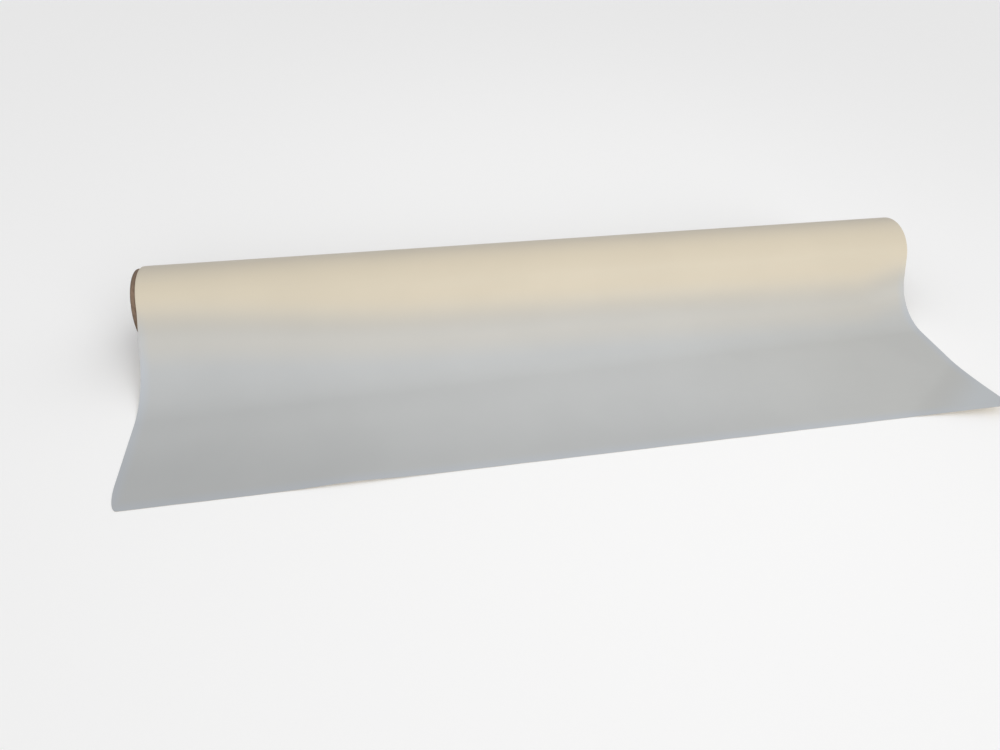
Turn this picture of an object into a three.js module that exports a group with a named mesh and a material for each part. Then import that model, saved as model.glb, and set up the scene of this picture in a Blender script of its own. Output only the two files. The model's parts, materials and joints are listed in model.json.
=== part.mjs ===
// Roll of sign vinyl: a web of self-adhesive film on its release liner, wound on a paperboard core,
// with the last stretch of the web pulled forward over a table.
// Lengths are in millimetres, angles in degrees. +X runs along the roll, -Y is the way the sheet is
// pulled, +Z is up. Turning angles are counted about +X from +Y, so 90 is the top of the roll and
// 180 its front. The origin ends up at the middle of the footprint, on the table.
import * as THREE from "three";

// Web
const webWidth = 914;
const filmThickness = 0.1; // face film with its coat of adhesive
const linerThickness = 0.12;
const webGap = 0.01; // between neighbouring layers
const turns = 9;

// Core
const boreRadius = 38.1; // a 3 inch core
const facePlyThickness = 0.45;
const bodyPlyThickness = 0.8;
const bodyPlyCount = 5;
const coreStandOut = 5.5; // past the left edge of the web
const coreRecess = 2.5; // behind the right edge of the web
const seamGap = 0.6; // between the turns of a face ply
const seamTurns = 20 / 3; // turns of a face ply along the core

// Starter tape, under the first turn of the web
const tapeThickness = 0.08;
const tapeRoom = 0.1;
const tapeSpan = 30; // of turning angle, 23 mm wide

// Path of the web off the roll, at its left and right edges
const leftPath = { leaveAngle: 42, bendRadius: 92 };
const rightPath = { leaveAngle: 26, bendRadius: 62 };
const clearOfRoll = 8; // along the web, from the roll to where the web's own piece starts
const landingEnd = 146; // in front of the roll's axis, where the web lies flat across its full width
const freeEdge = 258; // in front of the roll's axis
const jointGap = 0.4; // between the bent web and the free sheet

// Fineness
const step = 10; // of turning angle, one facet
const stationsAcross = 9;
const bendSteps = 8;

const endAngle = 150; // where the outer turn ends and the web leaves the roll
const columnsPerTurn = 360 / step;
const webPitch = filmThickness + linerThickness + 2 * webGap;
const coreLeft = -webWidth / 2 - coreStandOut;
const coreRight = webWidth / 2 - coreRecess;
const coreLength = coreRight - coreLeft;
const bodyStart = boreRadius + facePlyThickness + webGap;
const outerPlyStart = bodyStart + bodyPlyCount * (bodyPlyThickness + webGap);
const coreRadius = outerPlyStart + facePlyThickness;
const firstTurnRadius = coreRadius + tapeRoom;
const rollRadius = firstTurnRadius + turns * webPitch + webPitch - webGap;
const axisHeight = rollRadius - (webPitch * (endAngle + 90)) / 360; // radius where it meets the table

const toRadians = THREE.MathUtils.degToRad;

const looks = {
  film: { color: 0xe6dfd1, roughness: 0.62, metalness: 0 },
  liner: { color: 0xdcd3bd, roughness: 0.55, metalness: 0 },
  facePly: { color: 0x8b7355, roughness: 0.85, metalness: 0 },
  bodyPly: { color: 0x9a8468, roughness: 0.9, metalness: 0 },
  tape: { color: 0xd9c79a, roughness: 0.4, metalness: 0 },
};

// A closed solid through a row of outlines, each with the same even number of points: the first half
// runs along one face and the second half back along the other. A ring joins the last to the first.
function loft(outlines, isRing = false) {
  const count = outlines[0].length;
  const half = count / 2;
  const positions = outlines.flat().flatMap((p) => [p.x, p.y, p.z]);
  const faces = [];
  const spans = isRing ? outlines.length : outlines.length - 1;
  for (let k = 0; k < spans; k++) {
    const here = k * count;
    const there = ((k + 1) % outlines.length) * count;
    for (let i = 0; i < count; i++) {
      const next = (i + 1) % count;
      const [a, b, c, d] = [here + i, here + next, there + next, there + i];
      if (i < half) faces.push([a, b, c], [a, c, d]);
      else faces.push([a, b, d], [b, c, d]);
    }
  }
  if (!isRing) {
    const last = (outlines.length - 1) * count;
    for (let i = 0; i < half - 1; i++) {
      const j = count - 1 - i;
      faces.push([i, j, i + 1], [i + 1, j, j - 1]);
      faces.push([last + i, last + i + 1, last + j], [last + i + 1, last + j - 1, last + j]);
    }
  }
  return facingOut(positions, faces);
}

function facingOut(positions, faces) {
  const corner = (index) => new THREE.Vector3().fromArray(positions, 3 * index);
  const volume = faces.reduce((sum, [a, b, c]) => sum + corner(a).dot(corner(b).cross(corner(c))), 0);
  const turned = volume < 0 ? faces.map(([a, b, c]) => [a, c, b]) : faces;
  const geometry = new THREE.BufferGeometry();
  geometry.setAttribute("position", new THREE.Float32BufferAttribute(positions, 3));
  geometry.setIndex(turned.flat());
  return geometry;
}

function onRoll(x, radius, angle) {
  const turn = toRadians(angle);
  return new THREE.Vector3(x, radius * Math.cos(turn), radius * Math.sin(turn));
}

// One cross-section of a layer that lies on the roll at a turning angle, from x = from to x = to.
function rollSection(angle, inner, outer, from, to) {
  return [
    onRoll(from, outer, angle),
    onRoll(to, outer, angle),
    onRoll(to, inner, angle),
    onRoll(from, inner, angle),
  ];
}

function tube(inner, outer) {
  const sections = [];
  for (let column = 0; column < columnsPerTurn; column++) {
    sections.push(rollSection(column * step, inner, outer, coreLeft, coreRight));
  }
  return loft(sections, true);
}

// A face ply is one strip wound in a helix and cut square with the core at both ends.
function helicalPly(inner, startAngle) {
  const pitch = coreLength / seamTurns;
  const sections = [];
  for (let column = 1 - columnsPerTurn; column < seamTurns * columnsPerTurn; column++) {
    const edge = coreLeft + (pitch * column) / columnsPerTurn;
    const from = Math.max(coreLeft, edge);
    const to = Math.min(coreRight, edge + pitch - seamGap);
    const angle = startAngle + column * step;
    sections.push(rollSection(angle, inner, inner + facePlyThickness, from, to));
  }
  return loft(sections);
}

// A layer wound on the core as a spiral that ends where the web leaves the roll.
function woundLayer(depth, thickness) {
  const sections = [];
  for (let column = 0; column <= turns * columnsPerTurn; column++) {
    const angle = endAngle + column * step;
    const inner = firstTurnRadius + (webPitch * column) / columnsPerTurn + depth;
    sections.push(rollSection(angle, inner, inner + thickness, -webWidth / 2, webWidth / 2));
  }
  return loft(sections);
}

function starterTape() {
  const inner = coreRadius + webGap;
  const sections = [];
  for (let turn = 0; turn <= tapeSpan; turn += step) {
    sections.push(rollSection(endAngle + turn, inner, inner + tapeThickness, -webWidth / 2, webWidth / 2));
  }
  return loft(sections);
}

// The web's outer face seen along the roll, as points with their normals: a straight fall off the
// roll, a round bend onto the table, and a flat end. Heights are above the table.
function webProfile({ leaveAngle, bendRadius }) {
  const leave = toRadians(leaveAngle);
  const webThickness = webPitch - webGap;
  const start = { y: -rollRadius * Math.cos(leave), z: axisHeight + rollRadius * Math.sin(leave) };
  const down = { y: -Math.sin(leave), z: -Math.cos(leave) };
  const fall = (start.z - webThickness) / Math.cos(leave);
  const tangent = bendRadius * Math.tan((Math.PI / 2 - leave) / 2);
  const points = [clearOfRoll, fall - tangent].map((along) => ({
    y: start.y + down.y * along,
    z: start.z + down.z * along,
    turn: leave,
  }));
  const centre = { y: start.y + down.y * fall - tangent, z: webThickness + bendRadius };
  for (let i = 1; i <= bendSteps; i++) {
    const turn = leave + ((Math.PI / 2 - leave) * i) / bendSteps;
    points.push({
      y: centre.y + bendRadius * Math.cos(turn),
      z: centre.z - bendRadius * Math.sin(turn),
      turn,
    });
  }
  points.push({ y: -landingEnd, z: webThickness, turn: Math.PI / 2 });
  return points;
}

// One layer of the bent web, from depth below the web's outer face.
function bentLayer(depth, thickness) {
  const outlines = [];
  for (let station = 0; station < stationsAcross; station++) {
    const across = station / (stationsAcross - 1);
    const x = (across - 0.5) * webWidth;
    const profile = webProfile({
      leaveAngle: THREE.MathUtils.lerp(leftPath.leaveAngle, rightPath.leaveAngle, across),
      bendRadius: THREE.MathUtils.lerp(leftPath.bendRadius, rightPath.bendRadius, across),
    });
    const below = ({ y, z, turn }, distance) =>
      new THREE.Vector3(x, y + distance * Math.cos(turn), z - distance * Math.sin(turn));
    const upper = profile.map((point) => below(point, depth));
    const lower = profile.map((point) => below(point, depth + thickness));
    outlines.push([...upper, ...lower.reverse()]);
  }
  return loft(outlines);
}

function freeLayer(depth, thickness) {
  const length = freeEdge - landingEnd - jointGap;
  const geometry = new THREE.BoxGeometry(webWidth, length, thickness);
  const height = webPitch - webGap - depth - thickness / 2;
  geometry.translate(0, -freeEdge + length / 2, height);
  return geometry;
}

function piece(name, geometry, look) {
  const mesh = new THREE.Mesh(geometry, new THREE.MeshStandardMaterial(look));
  mesh.name = name;
  return mesh;
}

const linerDepth = filmThickness + webGap; // below the film's outer face
const filmRise = linerThickness + webGap; // above the liner's inner face

function core() {
  const group = new THREE.Group();
  group.add(piece("core_inner_ply", helicalPly(boreRadius, 0), looks.facePly));
  for (let ply = 0; ply < bodyPlyCount; ply++) {
    const inner = bodyStart + ply * (bodyPlyThickness + webGap);
    const geometry = tube(inner, inner + bodyPlyThickness);
    group.add(piece(`core_body_ply_${ply + 1}`, geometry, looks.bodyPly));
  }
  group.add(piece("core_outer_ply", helicalPly(outerPlyStart, 140), looks.facePly));
  return group;
}

function roll() {
  const group = new THREE.Group();
  group.add(core());
  group.add(piece("starter_tape", starterTape(), looks.tape));
  group.add(piece("wound_liner", woundLayer(0, linerThickness), looks.liner));
  group.add(piece("wound_film", woundLayer(filmRise, filmThickness), looks.film));
  group.position.z = axisHeight;
  return group;
}

function bentWeb() {
  const group = new THREE.Group();
  group.add(piece("web_liner", bentLayer(linerDepth, linerThickness), looks.liner));
  group.add(piece("web_film", bentLayer(0, filmThickness), looks.film));
  return group;
}

function freeSheet() {
  const group = new THREE.Group();
  group.add(piece("sheet_liner", freeLayer(linerDepth, linerThickness), looks.liner));
  group.add(piece("sheet_film", freeLayer(0, filmThickness), looks.film));
  return group;
}

const vinylRoll = new THREE.Group();
vinylRoll.add(roll(), bentWeb(), freeSheet());
vinylRoll.updateMatrixWorld(true);
const bounds = new THREE.Box3().setFromObject(vinylRoll, true);
const middle = bounds.getCenter(new THREE.Vector3());
vinylRoll.position.set(-middle.x, -middle.y, -bounds.min.z);

export default vinylRoll;
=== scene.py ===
import json
import math

import bmesh
import bpy
import numpy as np
from mathutils import Matrix, Vector, noise


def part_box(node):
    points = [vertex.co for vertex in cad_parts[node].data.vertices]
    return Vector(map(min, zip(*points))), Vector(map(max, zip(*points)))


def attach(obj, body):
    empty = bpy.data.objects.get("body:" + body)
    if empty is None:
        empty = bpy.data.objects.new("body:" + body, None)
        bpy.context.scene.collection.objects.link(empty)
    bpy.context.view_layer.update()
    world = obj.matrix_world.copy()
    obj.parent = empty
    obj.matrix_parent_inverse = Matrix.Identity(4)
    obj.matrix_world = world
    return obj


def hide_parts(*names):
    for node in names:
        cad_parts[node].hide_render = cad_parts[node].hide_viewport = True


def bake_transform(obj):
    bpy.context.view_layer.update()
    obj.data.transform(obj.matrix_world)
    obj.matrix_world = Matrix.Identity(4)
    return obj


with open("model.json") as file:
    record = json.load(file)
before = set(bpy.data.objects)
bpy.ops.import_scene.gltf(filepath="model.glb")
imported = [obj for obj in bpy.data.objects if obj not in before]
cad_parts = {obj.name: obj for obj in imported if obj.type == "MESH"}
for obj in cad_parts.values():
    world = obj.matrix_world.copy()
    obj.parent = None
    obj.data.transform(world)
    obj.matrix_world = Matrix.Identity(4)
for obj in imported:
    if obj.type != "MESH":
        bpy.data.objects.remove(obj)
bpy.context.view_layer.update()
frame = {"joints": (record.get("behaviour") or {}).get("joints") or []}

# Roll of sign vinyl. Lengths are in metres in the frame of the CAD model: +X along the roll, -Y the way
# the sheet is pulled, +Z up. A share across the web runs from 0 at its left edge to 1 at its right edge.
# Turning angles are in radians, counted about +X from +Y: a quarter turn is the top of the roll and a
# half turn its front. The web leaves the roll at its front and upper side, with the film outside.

MM = 0.001
TURN = 2 * math.pi

# Places and sizes from the frame
spin = next(joint for joint in frame["joints"] if joint["name"] == "roll_spin")
AXIS_Y, AXIS_Z = spin["pos_m"][1:]
wound_low, wound_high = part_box("wound_film")
core_low, core_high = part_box("core_outer_ply")
bore_low, bore_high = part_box("core_inner_ply")
film_low, film_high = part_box("sheet_film")
liner_low, liner_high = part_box("sheet_liner")
LEFT, RIGHT = wound_low.x, wound_high.x
WIDTH = RIGHT - LEFT
CORE_LEFT, CORE_RIGHT = core_low.x, core_high.x
CORE_RADIUS = (core_high.z - core_low.z) / 2
INNER_PLY_RADIUS = (bore_high.z - bore_low.z) / 2
FILM = film_high.z - film_low.z
LINER = liner_high.z - liner_low.z
LAYER_GAP = film_low.z - liner_high.z
WEB_THICKNESS = film_high.z - liner_low.z
WEB_PITCH = WEB_THICKNESS + LAYER_GAP

# Wound part
TURNS = 9.2
WOUND_END = math.radians(215)  # under the web that leaves the roll
SEGMENTS = 128  # in one turn
EDGE_NOISE = 0.12 * MM
RIGHT_EDGE_SHARE = 0.4  # of the left edge's drift
STATIONS = 9  # along the roll

# Path of the web off the roll; each pair is its left and its right edge
LEAVE_ANGLE = (math.radians(42.1), math.radians(24.9))
BEND_RADIUS = (96 * MM, 69.5 * MM)
FREE_EDGE = (-257.4 * MM + AXIS_Y, -251.2 * MM + AXIS_Y)
FEATHER = math.radians(26)  # of turning angle, where the web's piece thins out to meet the roll's surface
CLEAR_OF_ROLL = 0.06 * MM
CORNER_ALONG = (32 * MM, 12 * MM)  # rounding of the front corners
CORNER_ACROSS = (9 * MM, 6 * MM)
ARCH = 0.6 * MM  # hump in the free sheet, from its set on the roll
WAVE = 0.25 * MM
BUCKLE = {"height": 2.4 * MM, "x": -236 * MM, "width": 46 * MM}
RAISED_CORNER = {"height": 12.5 * MM, "along": 80 * MM, "across": 110 * MM, "power": 1.45, "forward": 0.85}
CUT_WOBBLE = 0.3 * MM
DRIFT_END = 60 * MM  # off the roll, where the web's edges have come true

# Fineness of the web's mesh
COLUMNS = 150
COLUMN_CROWDING = 0.12  # the smaller, the closer together the columns are towards the edges
FEATHER_ROWS = 10
FALL_ROWS = 24
BEND_ROWS = 34
FLAT_ROWS = 52
CORNER_ROWS = 12

# Core
BODY_PLY = 0.8 * MM
FACE_PLY = 0.45 * MM
SEAM_TURNS = 20 / 3
SEAM_GAP = 0.5 * MM
CORE_RAGGEDNESS = 0.12 * MM
BOARD_ROUNDING = 0.08 * MM

# Starter tape
TAPE = 0.08 * MM
TAPE_ROOM = 0.01 * MM
TAPE_INSET = 3 * MM
TAPE_TURNS = (math.radians(150), math.radians(180))


def between(pair, share):
    return pair[0] + (pair[1] - pair[0]) * share


def smooth(value, low, high):
    t = np.clip((value - low) / (high - low), 0, 1)
    return t * t * (3 - 2 * t)


# Meshes

def finish_mesh(name, vertices, faces, sharp_over=math.radians(35)):
    mesh = bpy.data.meshes.new(name)
    mesh.from_pydata([tuple(v) for v in vertices], [], [tuple(f) for f in faces])
    form = bmesh.new()
    form.from_mesh(mesh)
    bmesh.ops.recalc_face_normals(form, faces=form.faces)
    for face in form.faces:
        face.smooth = True
    for edge in form.edges:
        edge.smooth = edge.calc_face_angle(0.0) < sharp_over
    form.to_mesh(mesh)
    form.free()
    piece = bpy.data.objects.new(name, mesh)
    bpy.context.scene.collection.objects.link(piece)
    return piece


def grid_quads(index):
    corners = (index[:-1, :-1], index[1:, :-1], index[1:, 1:], index[:-1, 1:])
    return list(zip(*(corner.ravel().tolist() for corner in corners)))


def closed_sheet(name, upper, lower):
    """A thin closed solid between two grids of points, each rows by columns by 3."""
    rows, columns = upper.shape[:2]
    count = rows * columns
    index = np.arange(count).reshape(rows, columns)
    quads = grid_quads(index) + grid_quads(index + count)
    rim = np.concatenate([index[0, :-1], index[:-1, -1], index[-1, :0:-1], index[:0:-1, 0]])
    for start, end in zip(rim.tolist(), np.roll(rim, -1).tolist()):
        quads.append((start, end, end + count, start + count))
    return finish_mesh(name, np.concatenate([upper.reshape(-1, 3), lower.reshape(-1, 3)]), quads)


def on_roll(x, radius, turn):
    """Points at several places along the roll, all at one turning angle."""
    y, z = AXIS_Y + radius * math.cos(turn), AXIS_Z + radius * math.sin(turn)
    return np.column_stack([x, np.full(len(x), y), np.full(len(x), z)])


# The wound part

def wound_radius(turn):
    """Outside of the film on the roll. It just reaches the table under the axis."""
    return AXIS_Z + WEB_PITCH * (turn - 3 * TURN / 4) / TURN + WEB_PITCH


def edge_drift(turn, share):
    """How far the web lies to the right of true at a turning angle, at shares across it."""
    wound_on = (WOUND_END - turn) / TURN
    drift = 0.9 + 0.8 * smooth(wound_on, 0.15, 0.4) - 1.6 * smooth(wound_on, 0.6, 1.3)
    rough = noise.noise(Vector((wound_on * 2.3, 0.7, 1.9))) * smooth(wound_on, 0.2, 1.2)
    return float(drift * MM + rough * EDGE_NOISE) * between((1, RIGHT_EDGE_SHARE), share)


def wound_piece(name, depth, thickness, node):
    across = np.linspace(0, 1, STATIONS)
    upper, lower = [], []
    for k in range(round(TURNS * SEGMENTS) + 1):
        turn = WOUND_END - TURN * k / SEGMENTS
        x = LEFT + WIDTH * across + edge_drift(turn, across)
        radius = wound_radius(turn) - depth
        upper.append(on_roll(x, radius, turn))
        lower.append(on_roll(x, radius - thickness, turn))
    piece = closed_sheet(name, np.array(upper), np.array(lower))
    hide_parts(node)
    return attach(piece, "roll")


# The web off the roll

def path_at(share):
    """The web's outer face at one share across it, from the roll to the free edge: points (y, z), each
    with its share of the way along the free sheet and its share of the web's full thickness."""
    leave, bend, free_edge = (between(pair, share) for pair in (LEAVE_ANGLE, BEND_RADIUS, FREE_EDGE))
    points = []
    for step in range(FEATHER_ROWS + 1):
        turn = leave + FEATHER * (1 - step / FEATHER_ROWS)
        full = max(0.05, float(smooth(step, 0, FEATHER_ROWS)))
        radius = wound_radius(TURN / 2 - turn) + CLEAR_OF_ROLL + WEB_THICKNESS * full
        points.append((AXIS_Y - radius * math.cos(turn), AXIS_Z + radius * math.sin(turn), 0, full))
    start_y, start_z = points[-1][:2]
    fall = (start_z - WEB_THICKNESS) / math.cos(leave)
    tangent = bend * math.tan((TURN / 4 - leave) / 2)
    landing = start_y - fall * math.sin(leave) - tangent
    for along in np.linspace(0, fall - tangent, FALL_ROWS, endpoint=False)[1:]:
        points.append((start_y - along * math.sin(leave), start_z - along * math.cos(leave), 0, 1))
    for turn in np.linspace(leave, TURN / 4, BEND_ROWS, endpoint=False):
        points.append((landing + bend * math.cos(turn), WEB_THICKNESS + bend * (1 - math.sin(turn)), 0, 1))
    corner = between(CORNER_ALONG, share)
    places = list(np.linspace(landing, free_edge + corner, FLAT_ROWS, endpoint=False))
    for step in range(CORNER_ROWS + 1):
        places.append(free_edge + corner * (1 - math.sin(TURN / 4 * step / CORNER_ROWS)))
    for y in places:
        points.append((y, WEB_THICKNESS, (landing - y) / (landing - free_edge), 1))
    return np.array(points)


def corner_inset(share, from_free_edge):
    """How far the side edges draw in towards the free edge, to round the front corners."""
    gap = np.clip(1 - from_free_edge / between(CORNER_ALONG, share), 0, 1)
    return between(CORNER_ACROSS, share) * (1 - np.sqrt(1 - gap * gap))


def raised_corner(x, y):
    """Lift of the right front corner, which is bent up along a slanting line."""
    over = (x - RIGHT) / RAISED_CORNER["across"] + (FREE_EDGE[1] - y) / RAISED_CORNER["along"] + 1
    return RAISED_CORNER["height"] * np.clip(over, 0, None) ** RAISED_CORNER["power"]


def table_lift(x, y, flat_share):
    """Height of the free sheet over the table: an arch, a buckle and long waves."""
    middle = 1 - (2 * x / WIDTH) ** 2
    lift = ARCH * np.sin(math.pi * smooth(flat_share, 0.1, 1)) ** 2 * middle.clip(0, 1)
    lift += BUCKLE["height"] * np.exp(-(((x - BUCKLE["x"]) / BUCKLE["width"]) ** 2)) * flat_share**2
    waves = [noise.noise(Vector((px * 7, py * 10, 0.4))) for px, py in zip(x, y)]
    return lift + WAVE * (0.5 + 0.5 * np.array(waves)) * smooth(flat_share, 0, 0.4)


def web_columns():
    """Shares across the web, closer together towards its edges."""
    step = np.linspace(COLUMN_CROWDING, 1 - COLUMN_CROWDING, COLUMNS + 1)
    return 0.5 - 0.5 * np.cos(math.pi * step) / math.cos(math.pi * COLUMN_CROWDING)


def web_outer_face():
    """The web's outer face as rows by columns by 3, with how far each point is off the roll, how far the
    raised corner lifts it and its share of the web's full thickness."""
    columns, distances, lifts, thickness_shares = [], [], [], []
    for share in web_columns():
        y, z, flat_share, full = path_at(share).T
        travelled = np.concatenate([[0], np.cumsum(np.hypot(np.diff(y), np.diff(z)))])
        travelled -= travelled[FEATHER_ROWS]
        wobble = CUT_WOBBLE * noise.noise(Vector((share * 30, 2.1, 0))) * flat_share**4
        inset = corner_inset(share, y - between(FREE_EDGE, share))
        drift = edge_drift(WOUND_END, share) * (1 - smooth(travelled, 0, DRIFT_END))
        x = LEFT + inset + (WIDTH - 2 * inset) * share + drift
        raised = raised_corner(x, y) * smooth(flat_share, 0.05, 0.3)
        z = z + table_lift(x, y, flat_share) + raised
        columns.append(np.column_stack([x, y + wobble - RAISED_CORNER["forward"] * raised, z]))
        distances.append(travelled)
        lifts.append(raised)
        thickness_shares.append(full)
    return (np.stack(grid, axis=1) for grid in (columns, distances, lifts, thickness_shares))


def upward_normals(grid):
    normals = np.cross(np.gradient(grid, axis=1), np.gradient(grid, axis=0))
    normals /= np.linalg.norm(normals, axis=2, keepdims=True)
    return normals * np.sign(normals[-1, 0, 2])


def store(piece, name, grid):
    """Keeps a value for every point of a piece's two grids, for its material to read."""
    attribute = piece.data.attributes.new(name, "FLOAT", "POINT")
    attribute.data.foreach_set("value", np.tile(grid.ravel(), 2).astype(np.float32))


def web_piece(name, outer, full, depth, thickness, slot, *nodes):
    inwards = upward_normals(outer) * full[..., None]
    piece = closed_sheet(name, outer - inwards * depth, outer - inwards * (depth + thickness))
    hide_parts(*nodes)
    return piece


def make_web():
    outer, travelled, raised, full = web_outer_face()
    film = web_piece("vinyl_film", outer, full, 0, FILM, "vinyl_film", "web_film", "sheet_film")
    liner = web_piece(
        "release_liner", outer, full, FILM + LAYER_GAP, LINER, "release_liner", "web_liner", "sheet_liner"
    )
    from_edge = np.minimum(outer[..., 0] - LEFT, RIGHT - outer[..., 0])
    from_edge = np.minimum(from_edge, outer[..., 1] - outer[-1:, :, 1])
    for piece, under in ((film, "release_liner"), (liner, "film_wraps")):
        store(piece, "off_roll", travelled)
        store(piece, "from_edge", from_edge)
        store(piece, "raised", raised)
        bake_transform(piece)
    return film, liner


# The core

def ragged(x, radius, turn):
    """The core's ends are cut slightly rough, each ply by its own amount."""
    return x + CORE_RAGGEDNESS * noise.noise(Vector((radius * 900, 3 * math.cos(turn), 3 * math.sin(turn))))


def core_board(number):
    node = f"core_body_ply_{number}"
    low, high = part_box(node)
    outer = (high.z - low.z) / 2
    inner = outer - BODY_PLY
    rounding = BOARD_ROUNDING
    profile = [
        (CORE_LEFT, inner + rounding), (CORE_LEFT, outer - rounding), (CORE_LEFT + rounding, outer),
        (CORE_RIGHT - rounding, outer), (CORE_RIGHT, outer - rounding),
        (CORE_RIGHT, inner + rounding), (CORE_RIGHT - rounding, inner), (CORE_LEFT + rounding, inner),
    ]
    vertices, quads = [], []
    count = len(profile)
    for k in range(SEGMENTS):
        turn = TURN * k / SEGMENTS
        for x, radius in profile:
            vertices += on_roll(np.array([ragged(x, radius, turn)]), radius, turn).tolist()
        here, there = k * count, (k + 1) % SEGMENTS * count
        for i in range(count):
            j = (i + 1) % count
            quads.append((here + i, here + j, there + j, there + i))
    piece = finish_mesh(f"core_board_{number}", vertices, quads, math.radians(50))
    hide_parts(node)
    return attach(piece, "roll")


def core_face(name, node, outer, start_turn):
    """A strip of kraft paper wound in a helix, and cut square with the core at both ends."""
    pitch = (CORE_RIGHT - CORE_LEFT) / SEAM_TURNS
    upper, lower = [], []
    for k in range(1 - SEGMENTS, round(SEAM_TURNS * SEGMENTS)):
        strip_start = CORE_LEFT + pitch * k / SEGMENTS
        turn = start_turn + TURN * k / SEGMENTS
        start = max(ragged(CORE_LEFT, outer, turn), strip_start)
        end = min(ragged(CORE_RIGHT, outer, turn), strip_start + pitch - SEAM_GAP)
        x = np.linspace(start, end, 3)
        upper.append(on_roll(x, outer, turn))
        lower.append(on_roll(x, outer - FACE_PLY, turn))
    piece = closed_sheet(name, np.array(upper), np.array(lower))
    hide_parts(node)
    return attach(piece, "roll")


def start_tape():
    """The double-sided tape that holds the start of the web on the core."""
    x = np.linspace(LEFT + TAPE_INSET, RIGHT - TAPE_INSET, 5)
    turns = np.linspace(*TAPE_TURNS, 13)
    upper = [on_roll(x, CORE_RADIUS + TAPE_ROOM + TAPE, turn) for turn in turns]
    lower = [on_roll(x, CORE_RADIUS + TAPE_ROOM, turn) for turn in turns]
    piece = closed_sheet("start_tape", np.array(upper), np.array(lower))
    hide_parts("starter_tape")
    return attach(piece, "roll")


# Materials

def new_material(name):
    material = bpy.data.materials.new(name)
    material.use_nodes = True
    tree = material.node_tree
    return material, tree, tree.nodes["Principled BSDF"]


def add(tree, kind, inputs, **settings):
    """A shader node. Each input is a value or the socket that it is linked from."""
    made = tree.nodes.new("ShaderNode" + kind)
    for name, value in settings.items():
        setattr(made, name, value)
    for key, value in inputs.items():
        if isinstance(value, bpy.types.NodeSocket):
            tree.links.new(value, made.inputs[key])
        else:
            made.inputs[key].default_value = value
    return made


def calculate(tree, operation, *values):
    return add(tree, "Math", dict(enumerate(values)), operation=operation).outputs[0]


def ramp(tree, value, from_min, from_max, to_min=0.0, to_max=1.0):
    inputs = {"Value": value, "From Min": from_min, "From Max": from_max, "To Min": to_min, "To Max": to_max}
    return add(tree, "MapRange", inputs, interpolation_type="SMOOTHSTEP").outputs[0]


def mix(tree, factor, first, second, blend_type="MIX"):
    made = add(tree, "Mix", {}, data_type="RGBA", blend_type=blend_type)
    for key, value in ((0, factor), (6, first), (7, second)):
        if isinstance(value, bpy.types.NodeSocket):
            tree.links.new(value, made.inputs[key])
        else:
            made.inputs[key].default_value = value
    return made.outputs[2]


def grain(tree, place, scale, detail=2.0, roughness=0.5):
    inputs = {"Vector": place, "Scale": scale, "Detail": detail, "Roughness": roughness}
    return add(tree, "TexNoise", inputs).outputs["Fac"]


def stored(tree, name):
    return add(tree, "Attribute", {}, attribute_name=name).outputs["Fac"]


def bump(tree, height, distance, strength, after=None):
    inputs = {"Height": height, "Distance": distance, "Strength": strength}
    if after is not None:
        inputs["Normal"] = after
    return add(tree, "Bump", inputs).outputs["Normal"]


def object_place(tree):
    return add(tree, "TexCoord", {}).outputs["Object"]


def squared(tree, value):
    return calculate(tree, "MULTIPLY", value, value)


def unrolled_place(tree, radius):
    """Places on the roll as if it were rolled out flat: along it, round it from its top, and outwards."""
    parts = add(tree, "SeparateXYZ", {"Vector": object_place(tree)}).outputs
    y = calculate(tree, "SUBTRACT", parts["Y"], AXIS_Y)
    z = calculate(tree, "SUBTRACT", parts["Z"], AXIS_Z)
    round_it = calculate(tree, "MULTIPLY", calculate(tree, "ARCTAN2", y, z), radius)
    outwards = calculate(tree, "SQRT", calculate(tree, "ADD", squared(tree, y), squared(tree, z)))
    return add(tree, "CombineXYZ", {"X": parts["X"], "Y": round_it, "Z": outwards}).outputs["Vector"]


def stretched(tree, place, scale, slant=0.0):
    inputs = {"Vector": place, "Scale": scale, "Rotation": (0, 0, slant)}
    return add(tree, "Mapping", inputs).outputs["Vector"]


def tinted(tree, colour, value, low, high):
    """The colour made a little darker or lighter where the value is small or large."""
    shade = mix(tree, value, (*(low,) * 3, 1), (*(high,) * 3, 1))
    return mix(tree, 1.0, colour, shade, "MULTIPLY")


def film_colour(tree, parts, off_roll):
    """Cream where the film lies on the roll, with painted shade behind the roll's top. Grey where it hangs
    free, a little warmer towards the right, with painted cool light along its cut edges and painted light in
    its raised corner."""
    along = parts["X"]
    from_left = ramp(tree, along, -420 * MM, -50 * MM)
    cream = mix(tree, from_left, (0.606, 0.542, 0.426, 1), (0.612, 0.543, 0.422, 1))
    # Painted shade: the cream made duller behind the roll's top.
    shade_behind_top = ramp(tree, parts["Y"], AXIS_Y - 25 * MM, AXIS_Y + 20 * MM)
    cream = mix(tree, shade_behind_top, cream, (0.565, 0.513, 0.426, 1))
    grey = mix(tree, ramp(tree, along, 50 * MM, 400 * MM), (0.481, 0.491, 0.492, 1), (0.49, 0.495, 0.485, 1))
    hanging = ramp(tree, off_roll, 8 * MM, 58 * MM, 0.0, 0.7)
    hanging = calculate(tree, "ADD", hanging, ramp(tree, off_roll, 60 * MM, 96 * MM, 0.0, 0.3))
    colour = mix(tree, hanging, cream, grey)
    # Painted cool light along the cut edges of the hanging film, in place of their slight curl.
    cool_light_at_edge = ramp(tree, stored(tree, "from_edge"), 1 * MM, 13 * MM, 1.0, 0.0)
    cool_light_at_edge = calculate(tree, "MULTIPLY", cool_light_at_edge, squared(tree, hanging))
    colour = mix(tree, cool_light_at_edge, colour, (0.479, 0.502, 0.53, 1))
    # Painted light: the raised corner made lighter and cooler.
    raised = ramp(tree, stored(tree, "raised"), 0, 7 * MM)
    return mix(tree, raised, colour, (0.53, 0.556, 0.578, 1))


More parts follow.
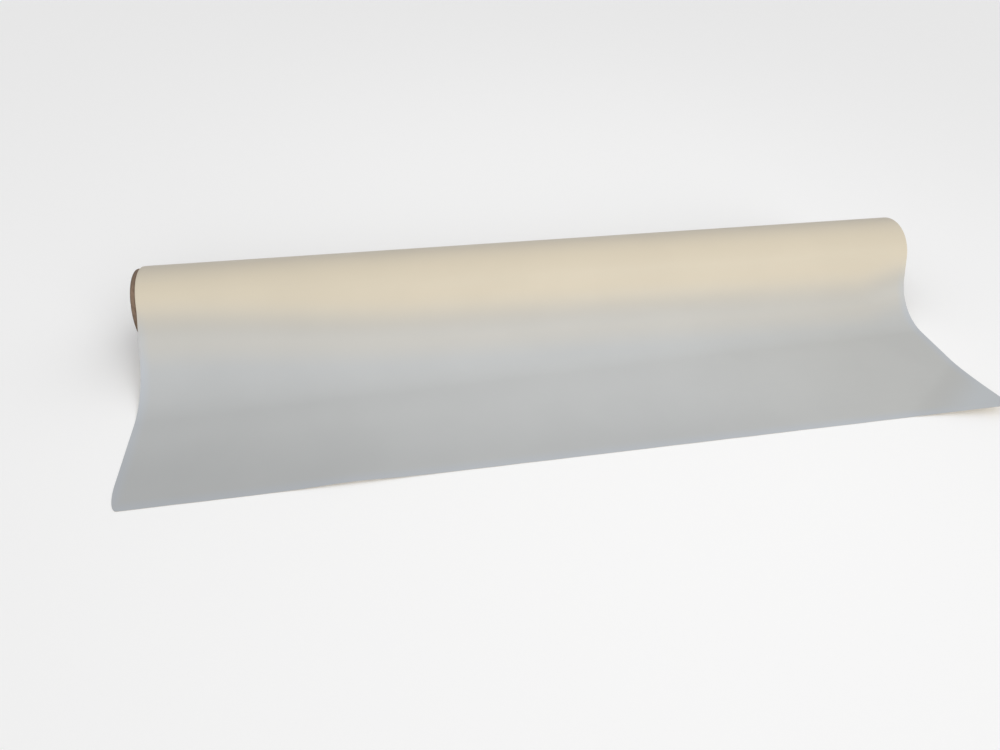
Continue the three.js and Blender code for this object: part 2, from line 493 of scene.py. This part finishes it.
def film_material():
    """Matte vinyl, a little translucent, so the turns under it tint it where it lies on them. It leaves
    them a little earlier at its two edges."""
    material, tree, shader = new_material("matte_vinyl")
    place = object_place(tree)
    parts = add(tree, "SeparateXYZ", {"Vector": place}).outputs
    left_side = ramp(tree, parts["X"], LEFT, LEFT + 300 * MM, 15 * MM, 0.0)
    right_side = ramp(tree, parts["X"], RIGHT - 70 * MM, RIGHT, 0.0, 14 * MM)
    earlier = calculate(tree, "ADD", left_side, right_side)
    off_roll = calculate(tree, "ADD", stored(tree, "off_roll"), earlier)
    colour = painted_film_shade(tree, film_colour(tree, parts, off_roll), parts["X"], off_roll)
    colour = tinted(tree, colour, ramp(tree, grain(tree, place, 11, 3), 0.3, 0.7), 0.997, 1.022)
    tree.links.new(colour, shader.inputs["Base Color"])
    smoother = grain(tree, stretched(tree, place, (1, 6, 6)), 14)
    tree.links.new(ramp(tree, smoother, 0.3, 0.7, 0.42, 0.5), shader.inputs["Roughness"])
    shader.inputs["Specular IOR Level"].default_value = 0.3
    grained = bump(tree, grain(tree, place, 2600, 1), 0.02 * MM, 0.3)
    tree.links.new(bump(tree, grain(tree, place, 70), 0.2 * MM, 0.15, grained), shader.inputs["Normal"])
    return material


def painted_film_shade(tree, colour, along, off_roll):
    """Painted shade and light: a faint dark line where the film parts from the roll, a lighter stretch where
    it lands, and a duller one towards its two ends and its free edge, but less so at the right."""
    # Painted shade: a faint dark line where the film parts from the roll.
    line = ramp(tree, off_roll, 20 * MM, 42 * MM)
    line = calculate(tree, "MULTIPLY", line, ramp(tree, off_roll, 42 * MM, 62 * MM, 1.0, 0.0))
    colour = tinted(tree, colour, line, 1.0, 0.94)
    # Painted light: a lighter stretch where the film lands.
    colour = tinted(tree, colour, ramp(tree, off_roll, 45 * MM, 125 * MM), 1.0, 1.1)
    # Painted shade: the film made duller towards its free edge, less so at the right.
    shade_at_free_edge = calculate(tree, "MULTIPLY", ramp(tree, off_roll, 160 * MM, 235 * MM),
                             ramp(tree, along, 120 * MM, 340 * MM, 1.0, 0.25))
    colour = tinted(tree, colour, shade_at_free_edge, 1.0, 0.9)
    # Painted shade: the hanging film made duller towards its two ends.
    off_middle = calculate(tree, "ABSOLUTE", calculate(tree, "SUBTRACT", along, 30 * MM))
    shade_at_end = calculate(tree, "MULTIPLY", ramp(tree, off_middle, 90 * MM, 450 * MM),
                       ramp(tree, off_roll, 30 * MM, 120 * MM))
    return tinted(tree, colour, shade_at_end, 1.0, 0.9)


def liner_material():
    """Cream release paper with a smooth, faintly glossy coat and cloudy paper underneath."""
    material, tree, shader = new_material("release_paper")
    place = object_place(tree)
    cloud = ramp(tree, grain(tree, place, 160, 4, 0.6), 0.3, 0.7)
    colour = mix(tree, cloud, (0.63, 0.54, 0.385, 1), (0.68, 0.60, 0.445, 1))
    tree.links.new(colour, shader.inputs["Base Color"])
    tree.links.new(ramp(tree, grain(tree, place, 300), 0.3, 0.7, 0.34, 0.46), shader.inputs["Roughness"])
    tree.links.new(bump(tree, grain(tree, place, 1400), 0.02 * MM, 0.25), shader.inputs["Normal"])
    return material


def kraft_material():
    """Brown kraft paper whose fibres run along the wound strip. The part of the core that stands out is
    lighter in its middle and darker at its rim, and darker beside the web with painted contact shadow."""
    material, tree, shader = new_material("kraft_paper")
    place = unrolled_place(tree, CORE_RADIUS)
    helix = math.atan2((CORE_RIGHT - CORE_LEFT) / SEAM_TURNS, TURN * CORE_RADIUS)
    fibres = grain(tree, stretched(tree, place, (1500, 160, 160), helix), 1, 4, 0.65)
    blotches = grain(tree, place, 55, 3)
    colour = mix(tree, ramp(tree, fibres, 0.3, 0.7), (0.14, 0.092, 0.061, 1), (0.224, 0.155, 0.108, 1))
    colour = tinted(tree, colour, ramp(tree, blotches, 0.3, 0.7), 0.88, 1.06)
    along = add(tree, "SeparateXYZ", {"Vector": place}).outputs["X"]
    rim = ramp(tree, along, CORE_LEFT + 0.3 * MM, CORE_LEFT + 1.7 * MM)
    # Painted contact shadow on the core beside the web.
    shadow_beside_web = ramp(tree, along, CORE_LEFT + 3.4 * MM, CORE_LEFT + 5.2 * MM, 1.0, 0.0)
    colour = tinted(tree, colour, calculate(tree, "MULTIPLY", rim, shadow_beside_web), 0.82, 1.12)
    tree.links.new(colour, shader.inputs["Base Color"])
    tree.links.new(ramp(tree, blotches, 0.3, 0.7, 0.72, 0.88), shader.inputs["Roughness"])
    tree.links.new(bump(tree, fibres, 0.05 * MM, 0.5), shader.inputs["Normal"])
    return material


def board_material():
    """Grey-brown core board, which shows its thin layers as rings at the cut ends."""
    material, tree, shader = new_material("core_board")
    place = unrolled_place(tree, CORE_RADIUS)
    layers = grain(tree, stretched(tree, place, (60, 25, 5200)), 1, 2)
    fuzz = grain(tree, place, 1500, 3, 0.7)
    colour = mix(tree, ramp(tree, layers, 0.35, 0.65), (0.135, 0.103, 0.075, 1), (0.235, 0.185, 0.14, 1))
    colour = tinted(tree, colour, ramp(tree, fuzz, 0.3, 0.7), 0.85, 1.1)
    tree.links.new(colour, shader.inputs["Base Color"])
    shader.inputs["Roughness"].default_value = 0.9
    tree.links.new(bump(tree, fuzz, 0.12 * MM, 0.6), shader.inputs["Normal"])
    return material


def tape_material():
    material, tree, shader = new_material("double_sided_tape")
    creases = grain(tree, stretched(tree, object_place(tree), (30, 400, 400)), 1)
    colour = mix(tree, ramp(tree, creases, 0.3, 0.7), (0.62, 0.53, 0.33, 1), (0.70, 0.62, 0.42, 1))
    tree.links.new(colour, shader.inputs["Base Color"])
    shader.inputs["Roughness"].default_value = 0.35
    return material


# Floor, lights and camera

def make_floor():
    reach = 30.0
    corners = [(-reach, -reach, 0), (reach, -reach, 0), (reach, reach, 0), (-reach, reach, 0)]
    mesh = bpy.data.meshes.new("floor")
    mesh.from_pydata(corners, [], [(0, 1, 2, 3)])
    floor = bpy.data.objects.new("floor", mesh)
    bpy.context.scene.collection.objects.link(floor)
    floor.location.z = -0.05 * MM
    material, tree, shader = new_material("pale_floor")
    shader.inputs["Base Color"].default_value = (0.97, 0.97, 0.97, 1)
    shader.inputs["Roughness"].default_value = 0.9
    mesh.materials.append(material)


def make_sun(name, azimuth, elevation, strength):
    """A soft distant light. Azimuth 0 shines from -Y, and 90 degrees from +X."""
    data = bpy.data.lights.new(name, "SUN")
    data.energy, data.angle = strength, math.radians(50)
    light = bpy.data.objects.new(name, data)
    bpy.context.scene.collection.objects.link(light)
    a, e = math.radians(azimuth), math.radians(elevation)
    towards = Vector((math.sin(a) * math.cos(e), -math.cos(a) * math.cos(e), math.sin(e)))
    light.rotation_euler = (-towards).to_track_quat("-Z", "Y").to_euler()


def make_panel(name, place, watts):
    """A square soft light that faces the middle of the roll."""
    data = bpy.data.lights.new(name, "AREA")
    data.shape, data.size, data.energy = "SQUARE", 0.8, watts
    light = bpy.data.objects.new(name, data)
    bpy.context.scene.collection.objects.link(light)
    light.location = place
    light.rotation_euler = (Vector((0.05, 0, 0)) - light.location).to_track_quat("-Z", "Y").to_euler()
    light.visible_camera = False


def make_lights():
    world = bpy.data.worlds.new("studio")
    bpy.context.scene.world = world
    world.use_nodes = True
    background = world.node_tree.nodes["Background"]
    background.inputs["Color"].default_value = (1, 1, 1, 1)
    background.inputs["Strength"].default_value = 0.6
    make_sun("front", 22, 26, 1.36)
    make_sun("right", 110, 40, 0.17)
    make_panel("panel_back", (0.1, 0.5, 1.0), 0.5)
    make_panel("panel_top", (0.15, -0.3, 0.8), 1.0)


def make_camera():
    data = bpy.data.cameras.new("camera")
    data.sensor_width = 36
    data.lens = 24.655
    camera = bpy.data.objects.new("camera", data)
    bpy.context.scene.collection.objects.link(camera)
    yaw, pitch, roll = 0.1919, 0.7114, 0.0323
    ahead = Vector((math.sin(yaw) * math.cos(pitch), math.cos(yaw) * math.cos(pitch), -math.sin(pitch)))
    level = Vector((math.cos(yaw), -math.sin(yaw), 0))
    lift = level.cross(ahead)
    right = math.cos(roll) * level + math.sin(roll) * lift
    up = math.cos(roll) * lift - math.sin(roll) * level
    place = Vector((-0.18375, -0.586825, 0.5023))
    camera.matrix_world = Matrix.Translation(place) @ Matrix((right, up, -ahead)).transposed().to_4x4()
    bpy.context.scene.camera = camera


def paint(material, *pieces):
    for piece in pieces:
        piece.data.materials.append(material)


make_camera()
vinyl_film, release_liner = make_web()
film_wraps = wound_piece("film_wraps", 0, FILM, "wound_film")
liner_wraps = wound_piece("liner_wraps", FILM + LAYER_GAP, LINER, "wound_liner")
core_boards = [core_board(number) for number in range(1, 6)]
core_face_outside = core_face("core_face_outside", "core_outer_ply", CORE_RADIUS, math.radians(140))
core_face_inside = core_face("core_face_inside", "core_inner_ply", INNER_PLY_RADIUS, 0.0)
tape = start_tape()
paint(film_material(), vinyl_film, film_wraps)
paint(liner_material(), release_liner, liner_wraps)
paint(tape_material(), tape)
paint(board_material(), *core_boards)
paint(kraft_material(), core_face_outside, core_face_inside)
make_floor()
make_lights()
bpy.context.scene.view_settings.view_transform = "Standard"
